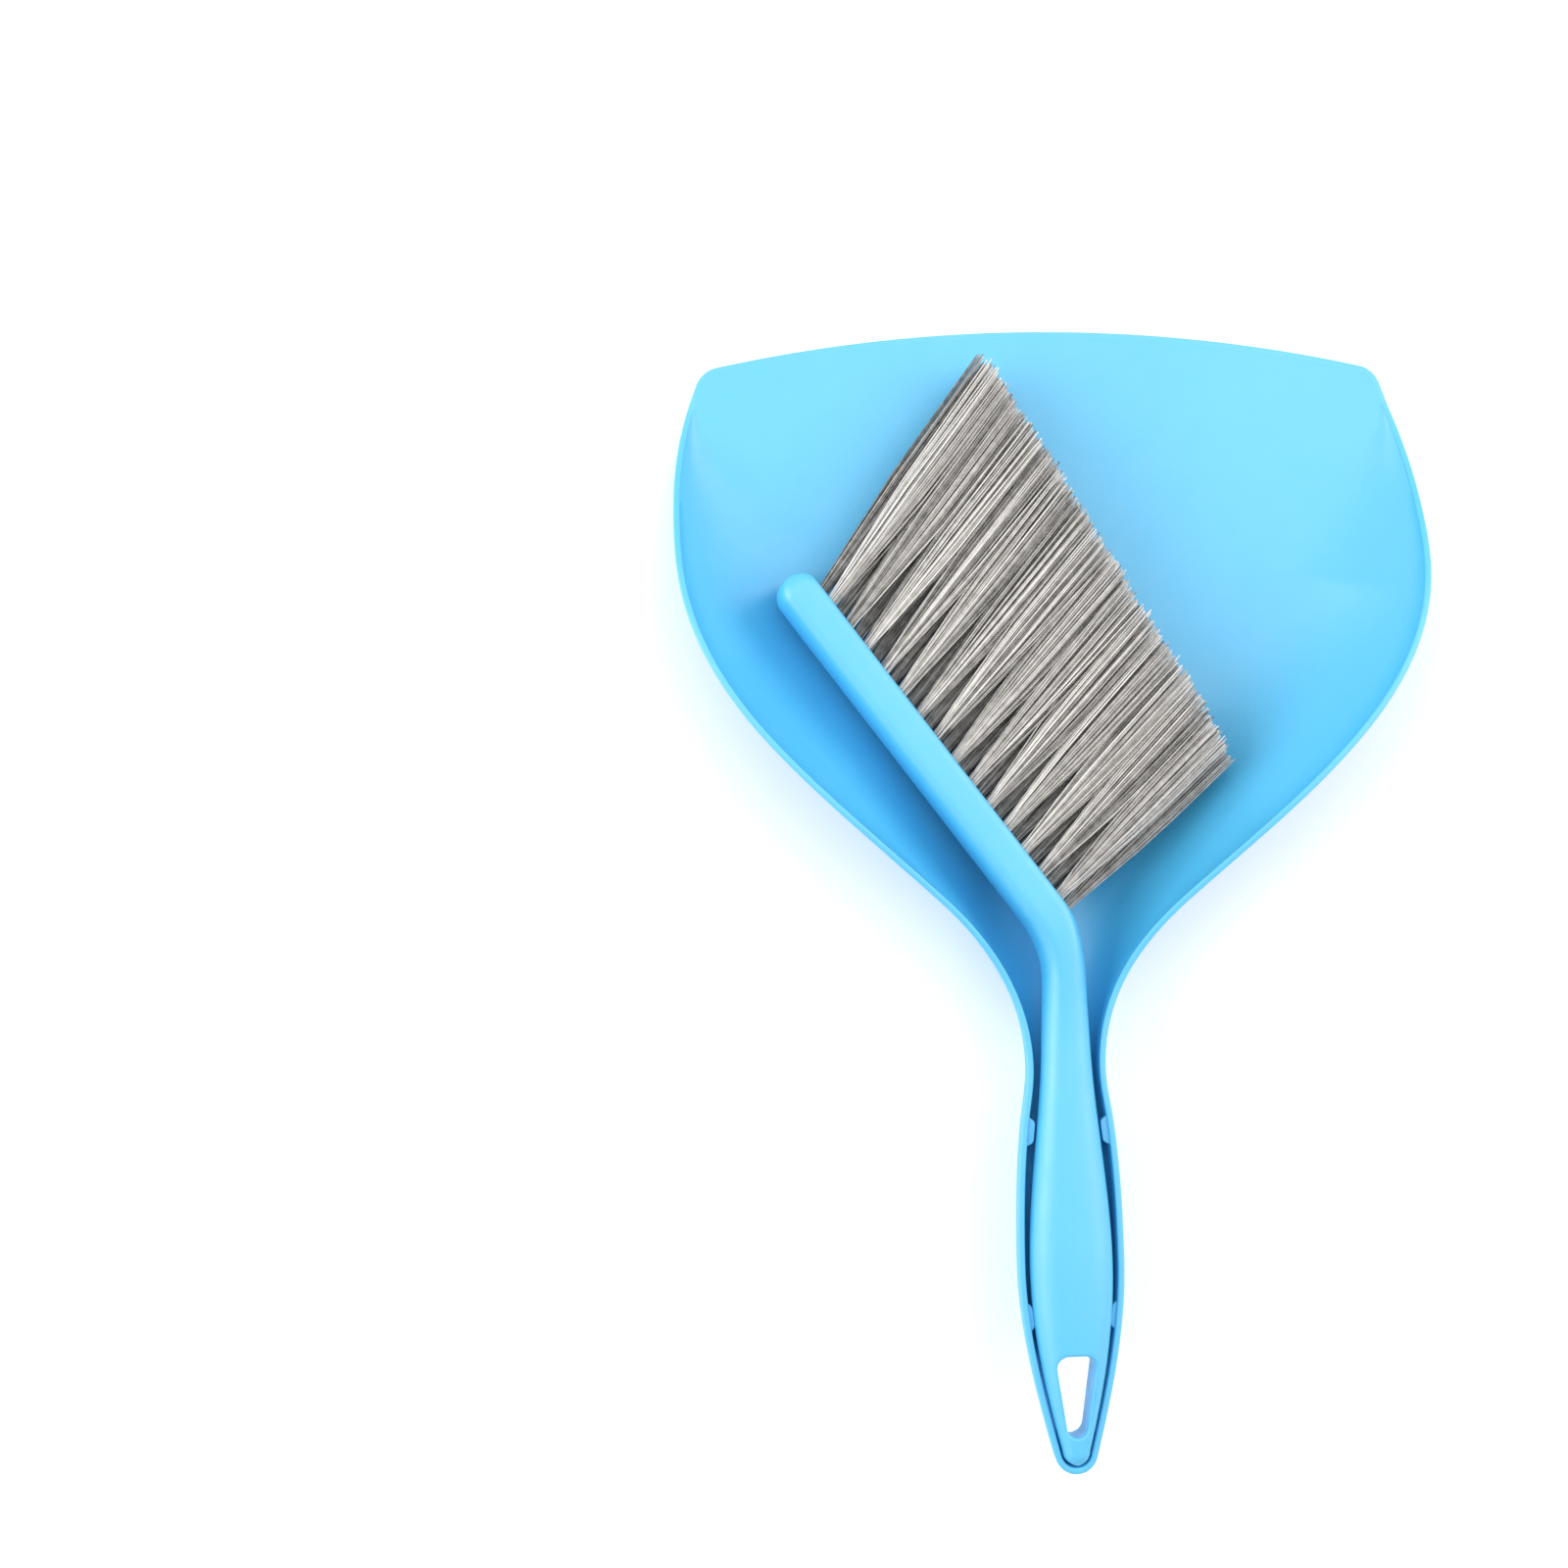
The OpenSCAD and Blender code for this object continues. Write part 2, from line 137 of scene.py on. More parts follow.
BLUE = (0.068, 0.490, 0.810)
BLUE_DARKER = (0.061, 0.475, 0.795)
HAIR_DARK = (0.055, 0.051, 0.047)
HAIR_LIGHT = (0.80, 0.77, 0.735)
STEEL_DARK, STEEL_LIGHT = (0.42, 0.43, 0.45), (0.68, 0.68, 0.69)
FLOOR_DARK, FLOOR_LIGHT = (0.95, 0.95, 0.95), (0.975, 0.975, 0.975)
NOISE_LOW, NOISE_HIGH = 0.3, 0.7    # nearly all of a noise's values lie between these

# The plastic: noise scales are waves per metre, depths are metres
PAN_ROUGHNESS, BRUSH_ROUGHNESS, ROUGHNESS_VARIES = 0.50, 0.48, 0.035
CLOUD_SCALE, PATCH_SCALE, GRAIN_SCALE, FLOW_SCALE = 26, 190, 2600, 60
GRAIN_STRENGTH, GRAIN_DEPTH = 0.16, 0.00006
FLOW_STRENGTH, FLOW_DEPTH = 0.10, 0.0006
PLASTIC_IOR, PLASTIC_SPECULAR = 1.6, 1.0
PLASTIC_DEPTH, PLASTIC_DEPTH_RGB, PLASTIC_DEPTH_SCALE = 0.12, (0.25, 0.7, 1.0), 0.0015

# The filaments, the wire and the floor
STREAK_SCALE, STREAK = 420, 0.12
HAIR_ROUGH_SCALE, HAIR_ROUGHNESS, HAIR_IOR = 900, (0.30, 0.46), 1.5
HAIR_DEPTH, HAIR_DEPTH_SCALE = 0.2, 0.0004
STEEL_SCALE, STEEL_ROUGH_SCALE, STEEL_ROUGHNESS = 700, 1500, (0.26, 0.45)
FLOOR_SCALE, FLOOR_ROUGHNESS, FLOOR_SPECULAR = 5, 0.8, 0.2


def material(name):
    """A new material, with its nodes, links, object coordinates and shader sockets."""
    mat = bpy.data.materials.new(name)
    mat.use_nodes = True
    nodes, links = mat.node_tree.nodes, mat.node_tree.links
    nodes.clear()
    out = nodes.new("ShaderNodeOutputMaterial")
    shader = nodes.new("ShaderNodeBsdfPrincipled")
    links.new(shader.outputs["BSDF"], out.inputs["Surface"])
    coords = nodes.new("ShaderNodeTexCoord").outputs["Object"]
    return mat, nodes, links, coords, shader.inputs


def bump(nodes, links, height, strength, depth):
    node = nodes.new("ShaderNodeBump")
    node.inputs["Strength"].default_value = strength
    node.inputs["Distance"].default_value = depth
    links.new(height, node.inputs["Height"])
    return node


def noise(nodes, links, coords, scale, detail=2, rough=0.5):
    tex = nodes.new("ShaderNodeTexNoise")
    tex.inputs["Scale"].default_value = scale
    tex.inputs["Detail"].default_value = detail
    tex.inputs["Roughness"].default_value = rough
    links.new(coords, tex.inputs["Vector"])
    return tex.outputs["Fac"]


def mapped(nodes, links, value, low, high):
    """Stretches a noise over a range."""
    node = nodes.new("ShaderNodeMapRange")
    for socket, number in (("From Min", NOISE_LOW), ("From Max", NOISE_HIGH),
                           ("To Min", low), ("To Max", high)):
        node.inputs[socket].default_value = number
    links.new(value, node.inputs["Value"])
    return node.outputs["Result"]


def mixed(nodes, links, factor, first, second):
    node = nodes.new("ShaderNodeMix")
    node.data_type = "RGBA"
    node.inputs["A"].default_value = (*first, 1)
    node.inputs["B"].default_value = (*second, 1)
    links.new(factor, node.inputs["Factor"])
    return node.outputs["Result"]


def plastic(name, roughness):
    """Moulded polypropylene: satin, with a fine grain, flow mottling and faint clouding."""
    mat, nodes, links, coords, sockets = material(name)
    clouds = mapped(nodes, links, noise(nodes, links, coords, CLOUD_SCALE, 4), 0, 1)
    links.new(mixed(nodes, links, clouds, BLUE_DARKER, BLUE), sockets["Base Color"])
    patches = noise(nodes, links, coords, PATCH_SCALE, 3)
    links.new(mapped(nodes, links, patches, roughness - ROUGHNESS_VARIES,
                     roughness + ROUGHNESS_VARIES), sockets["Roughness"])
    grain = bump(nodes, links, noise(nodes, links, coords, GRAIN_SCALE, rough=0.6),
                 GRAIN_STRENGTH, GRAIN_DEPTH)
    flow = bump(nodes, links, noise(nodes, links, coords, FLOW_SCALE),
                FLOW_STRENGTH, FLOW_DEPTH)
    links.new(grain.outputs["Normal"], flow.inputs["Normal"])
    links.new(flow.outputs["Normal"], sockets["Normal"])
    sockets["IOR"].default_value = PLASTIC_IOR
    sockets["Specular IOR Level"].default_value = PLASTIC_SPECULAR
    sockets["Subsurface Weight"].default_value = PLASTIC_DEPTH
    sockets["Subsurface Radius"].default_value = PLASTIC_DEPTH_RGB
    sockets["Subsurface Scale"].default_value = PLASTIC_DEPTH_SCALE
    return mat


def hair_material():
    """Grey filaments: each has its own tone, streaked, and painted shade darkens the lower
    rows and the roots.
    """
    mat, nodes, links, coords, sockets = material("grey_filament")
    # the attribute holds each filament's own tone with painted shade at the roots and in the
    # lower rows
    tone_and_painted_shade = nodes.new("ShaderNodeAttribute")
    tone_and_painted_shade.attribute_name = "tone_and_painted_shade"
    streak = mapped(nodes, links, noise(nodes, links, coords, STREAK_SCALE), -STREAK, STREAK)
    total = nodes.new("ShaderNodeMath")
    total.operation = "ADD"
    total.use_clamp = True
    links.new(tone_and_painted_shade.outputs["Fac"], total.inputs[0])
    links.new(streak, total.inputs[1])
    links.new(mixed(nodes, links, total.outputs[0], HAIR_DARK, HAIR_LIGHT),
              sockets["Base Color"])
    links.new(mapped(nodes, links, noise(nodes, links, coords, HAIR_ROUGH_SCALE),
                     *HAIR_ROUGHNESS), sockets["Roughness"])
    sockets["IOR"].default_value = HAIR_IOR
    sockets["Subsurface Weight"].default_value = HAIR_DEPTH
    sockets["Subsurface Radius"].default_value = (1, 1, 1)
    sockets["Subsurface Scale"].default_value = HAIR_DEPTH_SCALE
    return mat


def wire_material():
    mat, nodes, links, coords, sockets = material("staple_steel")
    links.new(mixed(nodes, links, noise(nodes, links, coords, STEEL_SCALE, 3),
                    STEEL_DARK, STEEL_LIGHT), sockets["Base Color"])
    links.new(mapped(nodes, links, noise(nodes, links, coords, STEEL_ROUGH_SCALE),
                     *STEEL_ROUGHNESS), sockets["Roughness"])
    sockets["Metallic"].default_value = 1.0
    return mat


def floor_material():
    mat, nodes, links, coords, sockets = material("studio_floor")
    links.new(mixed(nodes, links, noise(nodes, links, coords, FLOOR_SCALE),
                    FLOOR_DARK, FLOOR_LIGHT), sockets["Base Color"])
    sockets["Roughness"].default_value = FLOOR_ROUGHNESS
    sockets["Specular IOR Level"].default_value = FLOOR_SPECULAR
    return mat


PAN_PLASTIC = plastic("blue_polypropylene_pan", PAN_ROUGHNESS)
BRUSH_PLASTIC = plastic("blue_polypropylene_brush", BRUSH_ROUGHNESS)
HAIR = hair_material()
WIRE = wire_material()


# ---- the pan's shape ----------------------------------------------------------------

PAN_LEN, PAN_W, PAN_W_AT = 316, 210.6, 265
SHOULDER_HALF, SHOULDER_AT = 34.4, 156
FLANK_HALF, FLANK_AT = 92.9, 215    # between the shoulder and the greatest width
LIP_W, LIP_BOW, LIP_CORNER_R, LIP_SLOPE = 192, 10.7, 6, -0.49
BOW_STARTS = 210
GRIP_W, NECK_W, TIP_R, CHANNEL_DEPTH = 29.2, 21.8, 6, 10.6
WIDEST_AT, WAIST_AT, WAIST_IN, NECK_AT = 57, 95, 1.9, 111
WALL, LIP_FLOOR, LIP_TAPER, DRAFT = 1.8, 1.2, 30, 3.5
TIP_RIM_H, BACK_RIM_H = 31.5, 36
RIM_DIP_H, RIM_DIP_AT, RIM_TOP_AT = 24.2, 130, 190
RIM_MID_FALL, RIM_MID_AT, RIM_LOW_H, RIM_LOW_AT = 11.3, 250, 0.35, PAN_LEN - 10
BOWL_REACH, BOWL_OPEN, BOWL_SPREAD, CORNER = 42, 0.4, 1.6, 4
TILT, FLOOR_AT, TIP_TURN = 3.2, 168, 75
STEP = 0.02                               # height of the rim over the floor where it runs out
RIM_ROUND, RIM_LOWEST = 0.45, 5 * STEP    # below that height the rim's inner edge is sharp
ROUND_IN, ROUND_OUT = 0.5, 0.3            # the most of a wall's height that a rounding takes
SLOPE = math.tan(math.radians(TILT))
LEAN = math.tan(math.radians(DRAFT))

tip_end = TIP_R * (1 - math.cos(math.radians(TIP_TURN)))
lip_turn = math.atan(-LIP_SLOPE)
side_end = PAN_LEN - LIP_CORNER_R * (1 - math.sin(lip_turn))
lip_half = LIP_W / 2
lip_r = (lip_half**2 + LIP_BOW**2) / (2 * LIP_BOW)

# Knots of [station, value, slope]. The half width:
SIDE = [[tip_end, TIP_R * math.sin(math.radians(TIP_TURN)),
         1 / math.tan(math.radians(TIP_TURN))],
        [WIDEST_AT, GRIP_W / 2, 0], [WAIST_AT, GRIP_W / 2 - WAIST_IN, -0.12],
        [NECK_AT - 1, NECK_W / 2, 0], [SHOULDER_AT, SHOULDER_HALF, 1.1],
        [FLANK_AT, FLANK_HALF, 0.62], [PAN_W_AT, PAN_W / 2, 0],
        [PAN_LEN, lip_half, LIP_SLOPE]]
# Heights of the rim and of the underside
RIM = [[0, TIP_RIM_H, -SLOPE], [WAIST_AT, TIP_RIM_H - WAIST_AT * SLOPE, -SLOPE],
       [RIM_DIP_AT, RIM_DIP_H, 0], [RIM_TOP_AT, BACK_RIM_H, 0],
       [RIM_MID_AT, BACK_RIM_H - RIM_MID_FALL, -0.36],
       [RIM_LOW_AT, LIP_FLOOR + RIM_LOW_H, -0.3], [PAN_LEN, LIP_FLOOR, 0]]
UNDER = [[0, TIP_RIM_H - CHANNEL_DEPTH, -SLOPE],
         [NECK_AT, TIP_RIM_H - CHANNEL_DEPTH - NECK_AT * SLOPE, -SLOPE],
         [FLOOR_AT, 0, 0], [PAN_LEN, 0, 0]]
# The wall's curve: how far in from the wall it starts, and how much it opens out
REACH = [[0, CORNER, 0], [NECK_AT, CORNER + 0.5, 0], [RIM_TOP_AT, BOWL_REACH, 0],
         [PAN_LEN, BOWL_REACH, 0]]
OPEN = [[NECK_AT, 0, 0], [RIM_TOP_AT, BOWL_OPEN, 0], [PAN_LEN, BOWL_OPEN, 0]]
# The floor's thickness, and the share of the lip's bow
FLOOR = [[0, WALL, 0], [PAN_LEN - LIP_TAPER, WALL, 0], [PAN_LEN, LIP_FLOOR, 0]]
BOW = [[BOW_STARTS, 0, 0], [PAN_LEN, 1, 0]]

# The mesh's steps: stretches of the side and the spacing in each, and the two arcs' angles
STRETCHES, SPACING = [tip_end, 60, 104, 125, 180, side_end], [2.4, 2.0, 1.2, 1.3, 2.2]
TIP_ANGLES = np.arange(3, TIP_TURN - 2, 6)
LIP_ANGLES = np.linspace(90 + math.degrees(lip_turn), 178, 15)
FLOOR_STEPS = 22
TURN = np.linspace(1, 0, 15)
WALL_LEVELS = np.array([0.4, 0.75])    # rings on the straight wall, as shares of its height
QUARTER = np.radians(np.linspace(0, 90, 5))
TAPER_OVER = 0.05                      # half the length over which the taper is measured

# The most that the wall's curve takes up of the half width, and of the wall's height
MOST_IN, MOST_UP = 0.8, 0.95


def half_width(s):
    return curve(SIDE, s)


def rim_h(s):
    return np.maximum(curve(RIM, s), curve(FLOOR, s) + STEP)


def low_h(s, lift):
    """Height of the underside where lift is 0, and of the tray's floor where it is 1."""
    return float(curve(UNDER, s) + lift * curve(FLOOR, s))


def taper(s):
    """How the half width changes per millimetre of the pan's length."""
    return (half_width(s + TAPER_OVER) - half_width(s - TAPER_OVER)) / (2 * TAPER_OVER)


def arc_rows(cx, cy, r, angles):
    """Outline rows on an arc, at angles from the way to the handle's tip."""
    a = np.radians(angles)
    return np.stack([cx - r * np.cos(a), cy + r * np.sin(a), -np.cos(a), np.sin(a)], 1)


def side_rows(s):
    """Outline rows on the side between the two arcs."""
    m = taper(s)
    n = np.sqrt(1 + m * m)
    return np.stack([s, half_width(s), -m / n, 1 / n], 1)


def outline():
    """Rows of [station, half width, and the outward normal's two parts] along one side."""
    spots = []
    for start, end, gap in zip(STRETCHES, STRETCHES[1:], SPACING):
        count = round((end - start) / gap)
        spots.append(np.arange(start, end, (end - start) / count)[:count])
    return np.vstack([
        arc_rows(TIP_R, 0, TIP_R, TIP_ANGLES),
        side_rows(np.concatenate(spots)),
        arc_rows(PAN_LEN - LIP_CORNER_R,
                 float(half_width(side_end)) - LIP_CORNER_R * math.cos(lip_turn),
                 LIP_CORNER_R, LIP_ANGLES)])


def half_section(row):
    """Half a cross-section at one outline row, as [x, station, height], from the middle of
    the underside out, up, over the rounded rim, down and back to the middle of the tray."""
    s, w, ns, nw = row
    top = float(rim_h(s))

    def curve_in(depth, rim_round, lift):
        """The wall's curve, from the floor up: offsets from the outline, and heights."""
        s0, w0 = s - depth * ns, w - depth * nw
        rough = top - low_h(s0, lift)
        reach = min(float(curve(REACH, s0)) - lift * WALL / 2, BOWL_SPREAD * rough,
                    MOST_IN * (w0 / nw - rough * LEAN))
        low = low_h(s0 - ns * reach, lift)
        rise = min(reach, MOST_UP * (top - rim_round - low))
        z = low + (1 - TURN)**2 * rise
        z = np.concatenate([z, z[-1] + (top - rim_round - z[-1]) * WALL_LEVELS])
        t = np.concatenate([TURN, 0 * WALL_LEVELS])
        d = 2 * t * (1 - t) * float(curve(OPEN, s0)) * reach + t**2 * reach
        return depth + d + (top - z) * LEAN, z

    drop = top - low_h(s - WALL * ns, 1)
    r_in = min(RIM_ROUND, ROUND_IN * drop) if drop > RIM_LOWEST else 0
    r_out = min(RIM_ROUND, ROUND_OUT * (top - low_h(s, 0)))
    d_out, z_out = curve_in(0, r_out, 0)
    d_in, z_in = curve_in(WALL, r_in, 1)
    parts = [
        (d_out, z_out),
        (r_out * (1 - np.cos(QUARTER)), top - r_out * (1 - np.sin(QUARTER))),
        (WALL - r_in * (1 - np.sin(QUARTER)), top - r_in * (1 - np.cos(QUARTER))),
        (d_in[::-1], z_in[::-1])]
    d = np.concatenate([p[0] for p in parts])
    z = np.concatenate([p[1] for p in parts])
    profile = np.stack([w - nw * d, s - ns * d, z], 1)
    share = np.arange(FLOOR_STEPS) / FLOOR_STEPS

    def level(edge):
        return np.stack([edge[0] * share, edge[1] + 0 * share, edge[2] + 0 * share], 1)

    return np.vstack([level(profile[0]), profile, level(profile[-1])[::-1]])


def placed(points):
    """Puts [x, station, height] into the frame, bowed forward with the lip."""
    x, s, z = points[..., 0], points[..., 1], points[..., 2]
    drop = lip_r - np.sqrt(lip_r**2 - x**2)
    return np.stack([x, s - curve(BOW, s) * drop - PAN_LEN / 2, z], -1)


def pan_shell():
    halves = np.array([half_section(row) for row in outline()])
    rows, cols = halves.shape[:2]
    mirrored = halves * [-1, 1, 1]
    blocks, faces, count = [], [], 0
    for block, flip in ((halves, False), (mirrored, True)):
        faces += grid_faces(rows, cols, count, flip=flip)
        blocks.append(block.reshape(-1, 3))
        count += rows * cols
    # the end wall at the handle tip, and the lip's front edge
    share = np.arange(-FLOOR_STEPS, FLOOR_STEPS + 1) / FLOOR_STEPS
    for end, flip in ((0, False), (rows - 1, True)):
        profile = halves[end][FLOOR_STEPS:cols - FLOOR_STEPS]
        strip = np.repeat(profile[:, None, :], len(share), 1)
        strip[..., 0] *= share
        faces += grid_faces(len(profile), len(share), count, flip=flip)
        blocks.append(strip.reshape(-1, 3))
        count += strip.shape[0] * strip.shape[1]
    return welded(new_object("pan", placed(np.vstack(blocks)), faces))


# The hanging hole, wide towards the grip and narrow towards the tip
HOLE_FROM, HOLE_TO, HOLE_WIDE, HOLE_NARROW, HOLE_CORNER = 10.2, 32.4, 5.4, 2.95, 3.3
PAN_HOLE_GROW = 0.7
PAN_CREASE, BRUSH_CREASE = 40, 38    # degrees past which an edge is shaded sharp
HOLE_POINTS = 120
PAN_CUT = (-30, 10)    # from below the pan's handle to above it, over the brush's plane


def hole_outline(grow):
    """Points and outward normals around three circles wrapped by a string."""
    a = np.linspace(0, 2 * math.pi, HOLE_POINTS, endpoint=False)
    u = np.stack([np.cos(a), np.sin(a)], 1)
    centres = np.array([[0, HOLE_FROM + HOLE_NARROW],
                        [HOLE_WIDE - HOLE_CORNER, HOLE_TO - HOLE_CORNER],
                        [HOLE_CORNER - HOLE_WIDE, HOLE_TO - HOLE_CORNER]])
    radii = np.array([HOLE_NARROW, HOLE_CORNER, HOLE_CORNER]) + grow
    which = np.argmax(u @ centres.T + radii, 1)
    return centres[which] + radii[which, None] * u, u


def prism(points, low, high):
    count = len(points)
    verts = [(*p, z) for z in (low, high) for p in points]
    faces = grid_faces(2, count, closed=True) + cap_faces(count, count)
    return new_object("cutter", verts, faces)


# The brush's middle plane, and the head's axes on it
BRUSH_SUNK = 1.5
BEND_AT, BEND_ANGLE, BEND_R, HEAD_LEN = 145.3, 36.7, 34, 125
BRUSH_PLANE = (Matrix.Translation(Vector((0, -PAN_LEN / 2, TIP_RIM_H - BRUSH_SUNK)) * MM)
               @ Matrix.Rotation(-math.radians(TILT), 4, "X"))
HEAD_AXES = (BRUSH_PLANE @ Matrix.Translation(Vector((0, BEND_AT, 0)) * MM)
             @ Matrix.Rotation(math.radians(BEND_ANGLE), 4, "Z"))

# The ledges inside the handle's rim: [station, how far each stands out]
LEDGES = [[42.5, 1.1], [92.8, 1.8]]
LEDGE_FOOT, LEDGE_NOSE, LEDGE_T, LEDGE_DROP, LEDGE_BITE = 9.2, 5.8, 1.8, 0.8, 0.9
LEDGE_CORNER, LEDGE_EDGE = 0.9, 0.3    # roundings in plan, and of the upper edge
LEDGE_HALF = 3.0                       # from a ledge's middle to its edge, roughly


def ledge(s, stand, side):
    """A small flat-topped shelf, rounded in plan and at its upper edge."""
    corners = np.array([[LEDGE_BITE, -LEDGE_FOOT / 2], [-stand, -LEDGE_NOSE / 2],
                        [-stand, LEDGE_NOSE / 2], [LEDGE_BITE, LEDGE_FOOT / 2]])
    ring = []
    for i, c in enumerate(corners):
        before, after = corners[i - 1] - c, corners[(i + 1) % 4] - c
        before, after = before / np.linalg.norm(before), after / np.linalg.norm(after)
        for t in np.linspace(0, 1, 7):
            ring.append(c + before * LEDGE_CORNER * (1 - t)**2 + after * LEDGE_CORNER * t**2)
    ring = np.array(ring)
    middle = ring.mean(0)
    levels = [(-LEDGE_T, 0.0)]
    levels += [(-LEDGE_EDGE * (1 - math.sin(a)), LEDGE_EDGE * (1 - math.cos(a)))
               for a in QUARTER]
    verts, count = [], len(ring)
    for z, inset in levels:
        shrink = 1 - inset / LEDGE_HALF
        verts += [(*(middle + (p - middle) * shrink), z) for p in ring]
    faces = grid_faces(len(levels), count, closed=True)
    faces += cap_faces(count, len(verts) - count)
    obj = new_object("ledge", verts, faces)
    inner_half = float(half_width(s)) - WALL - LEDGE_DROP * LEAN
    place = (Matrix.Translation(Vector((side * inner_half, s - PAN_LEN / 2,
                                        float(rim_h(s)) - LEDGE_DROP)) * MM)
             @ Matrix.Rotation(-math.radians(TILT), 4, "X")
             @ Matrix.Rotation(-side * math.atan(float(taper(s))), 4, "Z"))
    if side < 0:
        place = place @ Matrix.Scale(-1, 4, (1, 0, 0))
    obj.data.transform(place)
    return welded(obj)


def make_pan():
    pan = pan_shell()
    for s, stand in LEDGES:
        for side in (-1, 1):
            combine(pan, ledge(s, stand, side), "UNION")
    points, _ = hole_outline(PAN_HOLE_GROW)
    cutter = prism(points, *PAN_CUT)
    cutter.data.transform(BRUSH_PLANE)
    combine(pan, cutter)
    smooth_by_angle(pan, PAN_CREASE)
    pan.data.materials.clear()
    pan.data.materials.append(PAN_PLASTIC)
    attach(pan, "pan")
    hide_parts("pan")


# ---- the brush's body ---------------------------------------------------------------

BRUSH_GRIP_W, BRUSH_GRIP_T, HEAD_W, HEAD_T = 22.8, 14.6, 11.5, 18.6
BRUSH_TIP_AT, BRUSH_TIP_R, BRUSH_TIP_HALF_T, BRUSH_GRIP_AT = 2.5, 3.85, 4.6, 56
THIN_AT, THIN_W, THIN_T = 116, 13.4, 12.4
bend_rad = math.radians(BEND_ANGLE)
bend_run = BEND_R * math.tan(bend_rad / 2)
bend_from = BEND_AT - bend_run
bend_to = bend_from + BEND_R * bend_rad


def at_head(q):
    """A distance along the head from where its line crosses the handle's, as a station."""
    return bend_to + q - bend_run


head_half = HEAD_W / 2
head_end = at_head(HEAD_LEN - head_half)
taper_from = BRUSH_TIP_AT + BRUSH_TIP_R

# The body's half width and half thickness
WIDTH = [[taper_from, BRUSH_TIP_R, 0.27], [BRUSH_GRIP_AT, BRUSH_GRIP_W / 2, 0],
         [THIN_AT, THIN_W / 2, -0.04], [bend_from + 8, head_half, 0], [head_end, head_half, 0]]
THICK = [[taper_from, BRUSH_TIP_HALF_T, 0.1], [BRUSH_GRIP_AT, BRUSH_GRIP_T / 2, 0],
         [THIN_AT, THIN_T / 2, 0], [at_head(14), HEAD_T / 2, 0], [head_end, HEAD_T / 2, 0]]
# How square its section is, on the back and on the bristles' side (2 is an ellipse), and how
# far the bristles' side stands out before it is made flat
OVAL, BACK_SQUARE, FACE_SQUARE, FACE_EXTRA = 2.3, 3.4, 5, 0.85
SQUARE = [[0, OVAL, 0], [bend_from - 10, OVAL, 0], [at_head(12), BACK_SQUARE, 0],
          [head_end, BACK_SQUARE, 0]]
FACE_SQ = [[0, OVAL, 0], [bend_from, OVAL, 0], [at_head(12), FACE_SQUARE, 0],
           [head_end, FACE_SQUARE, 0]]
EXTRA = [[0, 0, 0], [bend_from + 4, 0, 0], [at_head(9), FACE_EXTRA, 0],
         [head_end, FACE_EXTRA, 0]]
FACE_EDGE = 0.35    # rounding where the flat bristle face meets the head
SEAM = 0.07         # height of the moulding seam along the grip
SEAM_KNOTS = [[0, 0.2, 0], [20, 1, 0], [60, 0.8, 0], [WAIST_AT, 0, 0], [head_end, 0, 0]]

# Angles around a ring, closer on both sides of the seam at 90 degrees
RING_STEP = 3.75
ANGLES = np.radians(np.sort(np.concatenate(
    [np.arange(RING_STEP / 2, 360, RING_STEP), [88.6, 89.5, 90, 90.5, 91.4]])))
AT_SEAM = np.abs(ANGLES - math.pi / 2) < 0.004
END_ANGLES = np.radians([0, 4, 10, 17, 25, 33, 42, 51, 60, 70, 80])
TIP_THIN, HEAD_THIN = 0.5, 0.55    # how thick the rounded ends still are at their very end
GRIP_STEP, BEND_STEP, HEAD_STEP = 1.6, 0.8, 3.0


def power(v, e):
    """A power that keeps the sign."""
    return np.sign(v) * np.abs(v)**e


def brush_ring(d, wide, tall):
    """A closed ring of the body at station d, in the brush plane's millimetres."""
    h = min(max((d - bend_from) / BEND_R, 0), bend_rad)
    centre = (np.array([0, min(d, bend_from)])
              + [-BEND_R * (1 - math.cos(h)), BEND_R * math.sin(h)]
              + max(d - bend_to, 0) * np.array([-math.sin(h), math.cos(h)]))
    c, s = np.cos(ANGLES), np.sin(ANGLES)
    face = c > 0
    # the two sides share their corners at the very ends, so that the end rings close up
    n = np.where(face & (wide > 0), curve(FACE_SQ, d), curve(SQUARE, d))
    half = (curve(WIDTH, d) + np.where(face, curve(EXTRA, d), 0)) * wide
    x = half * power(c, 2 / n)
    z = curve(THICK, d) * tall * power(s, 2 / n)
    z = z + np.where(AT_SEAM, SEAM * curve(SEAM_KNOTS, d), 0)
    p = np.stack([centre[0] + x * math.cos(h), centre[1] + x * math.sin(h), z], 1)
    # the flat face for the bristles: nothing stands beyond it, in the head's axes
    axis = np.array([math.cos(bend_rad), math.sin(bend_rad)])
    out = (p[:, :2] - [0, BEND_AT]) @ axis
    over = np.clip(out - (head_half - FACE_EDGE), 0, 2 * FACE_EDGE)
    flat = np.where(out > head_half + FACE_EDGE, head_half, out - over**2 / (4 * FACE_EDGE))
    p[:, :2] += (flat - out)[:, None] * axis
    return p


def brush_top(x, y):
    """Height of the grip's top over the middle plane, where the hanging hole goes."""
    half, n = curve(WIDTH, y), OVAL
    return curve(THICK, y) * (1 - np.clip(np.abs(x) / half, 0, 0.999)**n)**(1 / n)


# The rounding of the hole's edge, how far the cutter flares past it, and where it ends
HOLE_EDGE, HOLE_FLARE, HOLE_CUT = 0.6, 0.4, 14.0


